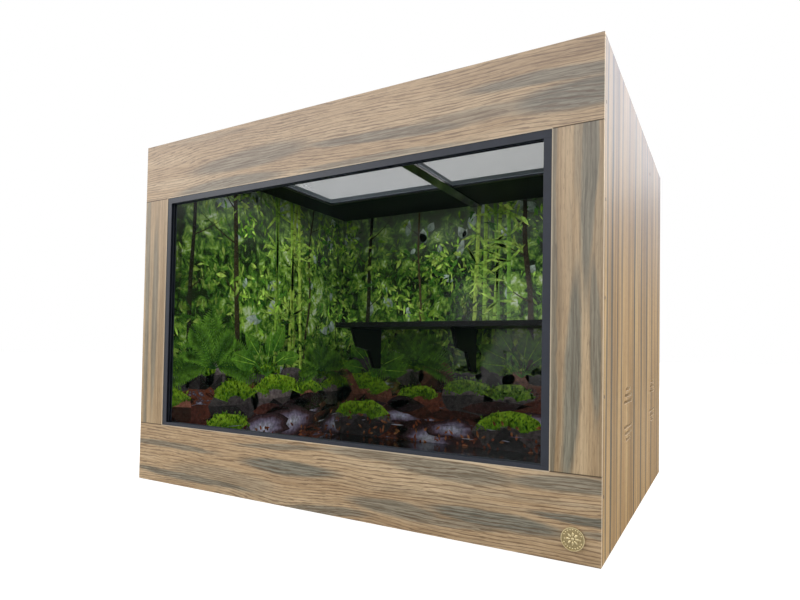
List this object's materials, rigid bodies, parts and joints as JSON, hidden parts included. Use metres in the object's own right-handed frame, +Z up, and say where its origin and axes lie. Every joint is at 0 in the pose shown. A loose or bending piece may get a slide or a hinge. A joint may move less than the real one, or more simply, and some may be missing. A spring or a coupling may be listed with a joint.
{
  "type": "terrarium cabinet",
  "caption": "Front-opening wooden terrarium cabinet with sliding glass panes in a plastic track, mesh ceiling panels, printed inner walls and a shelf on brackets.",
  "frame": {"origin": "under the middle of the cabinet's bounding box, on the ground", "axes": "+X to the right seen from the front, +Y from the front to the back, +Z up"},
  "size_m": [1.2, 0.912, 0.9],
  "materials": {
    "oak_laminate": "satin weathered oak laminate",
    "black_laminate": "gloss black laminate",
    "printed_board": "gloss forest print",
    "aluminium": "satin",
    "mesh_metal": "satin perforated sheet",
    "track_plastic": "satin black extrusion",
    "glass": "clear float glass",
    "screw_steel": "brown painted steel",
    "plug_rubber": "matt black rubber",
    "brass": "satin brass"
  },
  "bodies": {
    "cabinet": {"top_fascia": "oak_laminate", "bottom_fascia": "oak_laminate", "left_fascia": "oak_laminate", "right_fascia": "oak_laminate", "left_side_panel": "oak_laminate", "right_side_panel": "oak_laminate", "front_frame_top": "black_laminate", "front_frame_bottom": "black_laminate", "front_frame_left": "black_laminate", "front_frame_right": "black_laminate", "floor_panel": "black_laminate", "top_panel": "black_laminate", "back_panel": "black_laminate", "centre_batten": "black_laminate", "shelf": "black_laminate", "shelf_bracket_left": "black_laminate", "shelf_bracket_centre": "black_laminate", "shelf_bracket_right": "black_laminate", "backdrop_left": "printed_board", "backdrop_right": "printed_board", "backdrop_back": "printed_board", "mesh_frame_left": "aluminium", "mesh_frame_right": "aluminium", "mesh_left": "mesh_metal", "mesh_right": "mesh_metal", "top_track": "track_plastic", "bottom_track": "track_plastic", "left_channel": "track_plastic", "right_channel": "track_plastic", "side_screw_left_1": "screw_steel", "side_screw_left_2": "screw_steel", "side_screw_left_3": "screw_steel", "side_screw_left_4": "screw_steel", "side_screw_left_5": "screw_steel", "side_screw_right_1": "screw_steel", "side_screw_right_2": "screw_steel", "side_screw_right_3": "screw_steel", "side_screw_right_4": "screw_steel", "side_screw_right_5": "screw_steel", "probe_port_plug": "plug_rubber", "badge": "brass", "badge_pin_left": "brass", "badge_pin_right": "brass"},
    "pane_left": {"glass_pane_left": "glass"},
    "pane_right": {"glass_pane_right": "glass"}
  },
  "joints": [
    {"name": "left_pane_slide", "type": "slide", "parent": "cabinet", "child": "pane_left", "axis": [1, 0, 0], "range_m": [0, 0.494]},
    {"name": "right_pane_slide", "type": "slide", "parent": "cabinet", "child": "pane_right", "axis": [-1, 0, 0], "range_m": [0, 0.494]}
  ]
}
